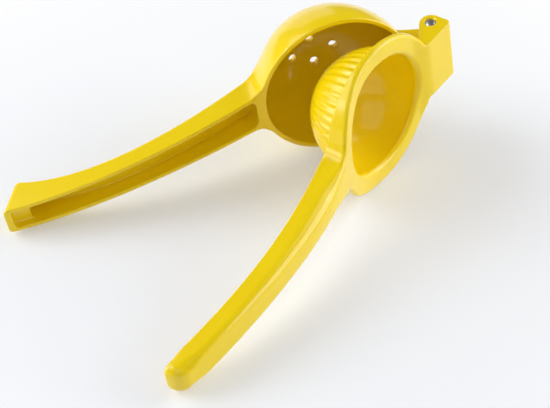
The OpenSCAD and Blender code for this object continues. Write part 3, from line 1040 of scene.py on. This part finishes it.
@dataclass(frozen=True)
class Enamel:
    """Glossy enamel over cast aluminium."""

    name: str = "yellow_enamel"
    deep: tuple[int, int, int] = (244, 211, 2)
    thin: tuple[int, int, int] = (247, 216, 6)
    roughness: float = 0.45
    specular: float = 0.08
    coat: float = 0.9
    coat_roughness: float = 0.15
    deep_at: float = 0.35
    thin_at: float = 0.75
    gloss: Point = (0.8, 1.2)
    relief: Point = (0.06, 0.0006)

    def material(self) -> Material:
        """Builds the material: colour between a full and a thin coat, and a clear one over it."""
        values = {
            "Specular IOR Level": self.specular,
            "Coat Weight": self.coat,
            "Coat Roughness": self.coat_roughness,
        }
        made = principled(self.name, values)
        group = made.node_tree.nodes.new("ShaderNodeGroup")
        group.node_tree = bpy.data.node_groups.get("cast_skin") or cast_skin_group()
        thin, height = group.outputs["Thin"], group.outputs["Height"]
        stops = ((self.deep_at, linear(*self.deep)), (self.thin_at, linear(*self.thin)))
        gloss = tuple(self.roughness * share for share in self.gloss)
        textured(made.node_tree, thin, height, stops, gloss, self.relief)
        return made


@dataclass(frozen=True)
class PinSteel:
    """Plain steel, turned: a fine grain and a dull sheen."""

    name: str = "pin_steel"
    colour: tuple[int, int, int] = (198, 196, 198)
    shade: float = 0.86
    roughness: float = 0.36
    gloss: Point = (0.7, 1.4)
    grain: Point = (1500.0, 2.0)
    relief: Point = (0.15, 0.0001)

    def material(self) -> Material:
        """Builds the material: a metal whose tint, gloss and relief vary with a fine noise."""
        made = principled(self.name, {"Metallic": 1.0})
        tree = made.node_tree
        grain = noise(tree, tree.nodes.new("ShaderNodeTexCoord").outputs["Object"], *self.grain)
        dark = linear(*(int(value * self.shade) for value in self.colour))
        gloss = tuple(self.roughness * share for share in self.gloss)
        textured(tree, grain, grain, ((0.0, dark), (1.0, linear(*self.colour))), gloss, self.relief)
        return made


# ---------------------------------------------------------------- studio


@dataclass(frozen=True)
class SoftLamp:
    """A soft lamp that faces the tool: its place in degrees, side in metres and power in watts."""

    name: str
    azimuth: float
    elevation: float
    size: float
    power: float

    def direction(self) -> Array:
        """Unit vector from the tool to the lamp."""
        turn, rise = math.radians(self.azimuth), math.radians(self.elevation)
        out = math.cos(rise)
        return np.array([math.cos(turn) * out, math.sin(turn) * out, math.sin(rise)])


@dataclass
class Studio:
    """White table, soft lamps and the camera, which stands where the photograph was taken from."""

    stance: Stance
    eye: tuple[float, float, float] = (-335.41, -455.41, 497.49)
    right: tuple[float, float, float] = (0.79863, -0.58465, -0.14273)
    upward: tuple[float, float, float] = (0.50806, 0.52785, 0.68062)
    lens: float = 106.14
    sensor: float = 36.0
    near_clip: float = 0.01
    floor_half: float = 2.5
    floor_gap: float = 0.0001
    floor_colour: Colour = (0.885, 0.91, 0.965, 1.0)
    floor_roughness: float = 0.7
    # Painted glow of the table: low round the tool, leaving a painted shade there, and high and
    # plain white further out
    near_glow: float = 0.24
    far_glow: float = 0.95
    glow_from: float = 0.09
    glow_to: float = 0.26
    lamp_distance: float = 1.5
    lamps: tuple[SoftLamp, ...] = (
        SoftLamp("right_low", -36.0, 16.0, 1.0, 11.4),
        SoftLamp("right_far_low", -6.0, 16.0, 1.0, 5.6),
        SoftLamp("right_far_high", -6.0, 42.0, 1.0, 5.0),
        SoftLamp("left_low", 144.0, 16.0, 1.0, 11.0),
        SoftLamp("left_high", 144.0, 42.0, 1.0, 7.6),
        SoftLamp("front", -126.0, 42.0, 1.5, 5.4),
        SoftLamp("left_far_high", 116.0, 40.0, 0.9, 4.4),
        SoftLamp("far_low", 70.0, 14.0, 0.8, 1.4),
    )
    world_level: float = 0.1

    def camera(self) -> None:
        """Places the camera from its eye and axes in the opened tool's frame."""
        turn = self.stance.opened()
        right = turn @ np.array(self.right)
        upward = turn @ np.array(self.upward)
        right /= np.linalg.norm(right)
        back = np.cross(right, upward)
        back /= np.linalg.norm(back)
        upward = np.cross(back, right)
        eye = turn @ (np.array(self.eye) * MM) + self.stance.pin
        data = bpy.data.cameras.new("camera")
        data.lens = self.lens
        data.sensor_width = self.sensor
        data.clip_start = self.near_clip
        camera = bpy.data.objects.new("camera", data)
        matrix = np.eye(4)
        matrix[:3] = np.stack([right, upward, back, eye], axis=1)
        camera.matrix_world = Matrix(matrix.tolist())
        bpy.context.scene.collection.objects.link(camera)
        bpy.context.scene.camera = camera

    def table(self) -> None:
        """Lays the pale table, a little below the lowest point of the tool."""
        mesh = bpy.data.meshes.new("table")
        h = self.floor_half
        mesh.from_pydata([(-h, -h, 0), (h, -h, 0), (h, h, 0), (-h, h, 0)], [], [(0, 1, 2, 3)])
        table = bpy.data.objects.new("table", mesh)
        table.location.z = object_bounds()[0][2] - self.floor_gap
        bpy.context.scene.collection.objects.link(table)
        mesh.materials.append(self.table_white())
        table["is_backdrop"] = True

    def table_white(self) -> Material:
        """A pale paint that takes the shadows.

        Seen, mirrored or looked through, it glows as painted light. The glow is weak near the tool,
        so the floor round it keeps a painted shade, and stronger further out, where it goes over to
        plain white.
        """
        values = {
            "Base Color": self.floor_colour,
            "Roughness": self.floor_roughness,
            "Specular IOR Level": 0.0,
        }
        paint = principled("table_white", values)
        tree = paint.node_tree
        rays = tree.nodes.new("ShaderNodeLightPath").outputs
        seen = worked(tree, "MAXIMUM", rays["Is Camera Ray"], rays["Is Glossy Ray"])
        seen = worked(tree, "MAXIMUM", seen, rays["Is Transmission Ray"])
        place = tree.nodes.new("ShaderNodeTexCoord").outputs["Object"]
        reach = tree.nodes.new("ShaderNodeVectorMath")
        reach.operation = "LENGTH"
        tree.links.new(place, reach.inputs[0])
        # painted light: the glow rises with distance from the tool, leaving painted shade round it
        glow = tree.nodes.new("ShaderNodeMapRange")
        glow.interpolation_type = "SMOOTHSTEP"
        for label, value in (
            ("From Min", self.glow_from),
            ("From Max", self.glow_to),
            ("To Min", self.near_glow),
            ("To Max", self.far_glow),
        ):
            glow.inputs[label].default_value = value
        tree.links.new(reach.outputs["Value"], glow.inputs["Value"])
        white = tree.nodes.new("ShaderNodeEmission")
        mix = tree.nodes.new("ShaderNodeMixShader")
        share = worked(tree, "MULTIPLY", seen, glow.outputs["Result"])
        tree.links.new(share, mix.inputs["Fac"])
        tree.links.new(tree.nodes["Principled BSDF"].outputs["BSDF"], mix.inputs[1])
        tree.links.new(white.outputs["Emission"], mix.inputs[2])
        tree.links.new(mix.outputs["Shader"], tree.nodes["Material Output"].inputs["Surface"])
        return paint

    def hang(self, lamp: SoftLamp) -> None:
        """Hangs a square soft lamp that faces the tool.

        Args:
            lamp: Its name, place, size and power.
        """
        data = bpy.data.lights.new(lamp.name, "AREA")
        data.shape = "SQUARE"
        data.size = lamp.size
        data.energy = lamp.power
        piece = bpy.data.objects.new(lamp.name, data)
        direction = Vector(lamp.direction().tolist())
        piece.location = direction * self.lamp_distance
        piece.rotation_euler = direction.to_track_quat("Z", "Y").to_euler()
        bpy.context.scene.collection.objects.link(piece)

    def world(self) -> None:
        """A dim, even room."""
        world = bpy.data.worlds.new("studio")
        world.use_nodes = True
        bpy.context.scene.world = world
        back = world.node_tree.nodes["Background"]
        back.inputs["Color"].default_value = (1.0, 1.0, 1.0, 1.0)
        back.inputs["Strength"].default_value = self.world_level

    def build(self) -> None:
        """Sets up camera, table, lamps and world."""
        self.camera()
        self.table()
        for lamp in self.lamps:
            self.hang(lamp)
        self.world()
        bpy.context.scene.view_settings.view_transform = "Standard"


def main() -> None:
    """Builds every piece in order, hiding the parts of model.glb that each one replaces, then the
    studio.
    """
    logging.basicConfig(level=logging.INFO, format="%(name)s: %(message)s")
    stance = Stance.from_joint(frame["joints"][0])
    hinge = Hinge()
    enamel = Enamel().material()
    steel = PinSteel().material()
    bowl, press = BowlLever(hinge), PressLever(hinge)
    bowl_piece = mesh_piece("bowl_lever_casting", bowl.skin(), Lever.BOWL, stance, enamel)
    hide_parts("strainer_bowl", "bowl_handle", "hinge_tongue")
    press_piece = mesh_piece("press_lever_casting", press.skin(), Lever.PRESS, stance, enamel)
    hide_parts("press_flange", "press_handle", "hinge_clevis")
    dome_piece = mesh_piece("fluted_dome", Dome(press).skin(), Lever.PRESS, stance, enamel)
    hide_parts("press_dome")
    pin_piece = mesh_piece("hinge_pin_steel", HingePin(hinge).skin(), Lever.PRESS, stance, steel)
    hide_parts("hinge_pin")
    Studio(stance).build()


if __name__ == "__main__":
    main()
